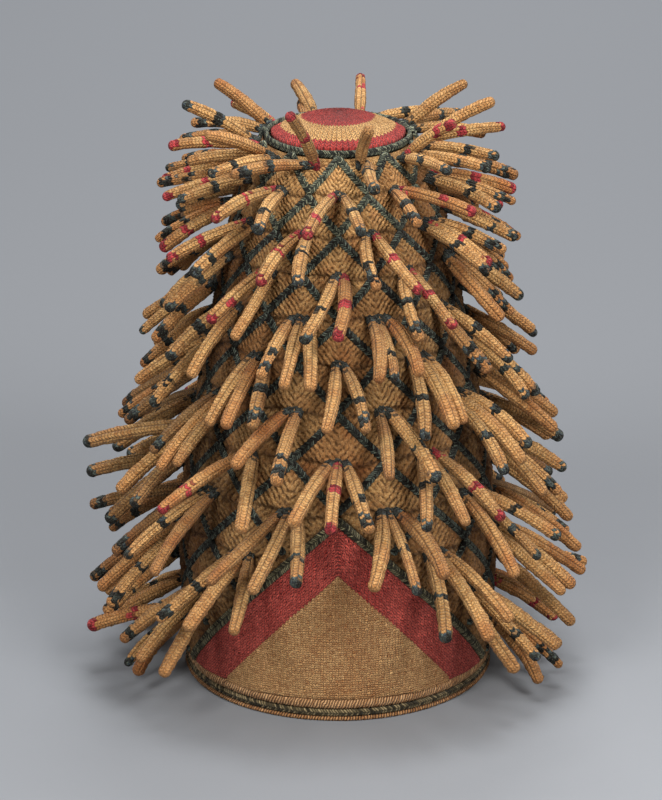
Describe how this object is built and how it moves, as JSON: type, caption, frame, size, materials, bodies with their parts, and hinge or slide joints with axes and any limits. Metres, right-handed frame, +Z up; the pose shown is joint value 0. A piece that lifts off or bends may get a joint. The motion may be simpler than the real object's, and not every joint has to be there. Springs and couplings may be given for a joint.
{
  "type": "knitted headdress",
  "caption": "Tall knitted cap that narrows to a domed roundel, quilted in lozenges with bunches of stuffed knitted fingers and a triangular panel over a corded rim.",
  "frame": {"origin": "middle of the rim, on the surface that the rim rests on", "axes": "+Z up the cap to the roundel, -Y to the front panel, +X to the right of the front as a viewer sees it"},
  "size_m": [0.304, 0.2982, 0.3674],
  "materials": {
    "finger_knit": "camel hand knit with dark and red bands",
    "dark_cord": "dark blue-green two-ply cord",
    "red_knit": "brick red fine knit",
    "panel_knit": "camel fine knit",
    "wall_knit": "camel knit, plain inside",
    "roundel_knit": "red and cream rings",
    "hem_edge": "tan corded edge",
    "hem_braid": "dark olive braid",
    "hem_roll": "tan corded roll"
  },
  "bodies": {
    "root": {"cap_wall_foot": "wall_knit", "cap_wall_lower": "wall_knit", "cap_wall_upper": "wall_knit", "cap_wall_crown": "wall_knit", "hem_edge": "hem_edge", "hem_braid": "hem_braid", "hem_roll": "hem_roll", "roundel_ring": "dark_cord", "crown_roundel": "roundel_knit", "tier_00": "finger_knit", "tier_01": "finger_knit", "border_cord_01": "dark_cord", "tier_02": "finger_knit", "border_cord_02": "dark_cord", "tier_03": "finger_knit", "border_cord_03": "dark_cord", "tier_04": "finger_knit", "border_cord_04": "dark_cord", "tier_05": "finger_knit", "border_cord_05": "dark_cord", "tier_06": "finger_knit", "border_cord_06": "dark_cord", "tier_07": "finger_knit", "border_cord_07": "dark_cord", "tier_08": "finger_knit", "border_cord_08": "dark_cord", "tier_09_right": "finger_knit", "border_cord_09_right": "dark_cord", "tier_09_left": "finger_knit", "border_cord_09_left": "dark_cord", "tier_10_right": "finger_knit", "border_cord_10_right": "dark_cord", "tier_10_left": "finger_knit", "border_cord_10_left": "dark_cord", "tier_11_right": "finger_knit", "border_cord_11_right": "dark_cord", "tier_11_left": "finger_knit", "border_cord_11_left": "dark_cord", "side_gusset_right": "finger_knit", "border_cord_12_right": "dark_cord", "side_gusset_left": "finger_knit", "border_cord_12_left": "dark_cord", "front_outline": "dark_cord", "front_chevron": "red_knit", "front_field": "panel_knit", "back_outline": "dark_cord", "back_chevron": "red_knit", "back_field": "panel_knit"}
  },
  "joints": []
}
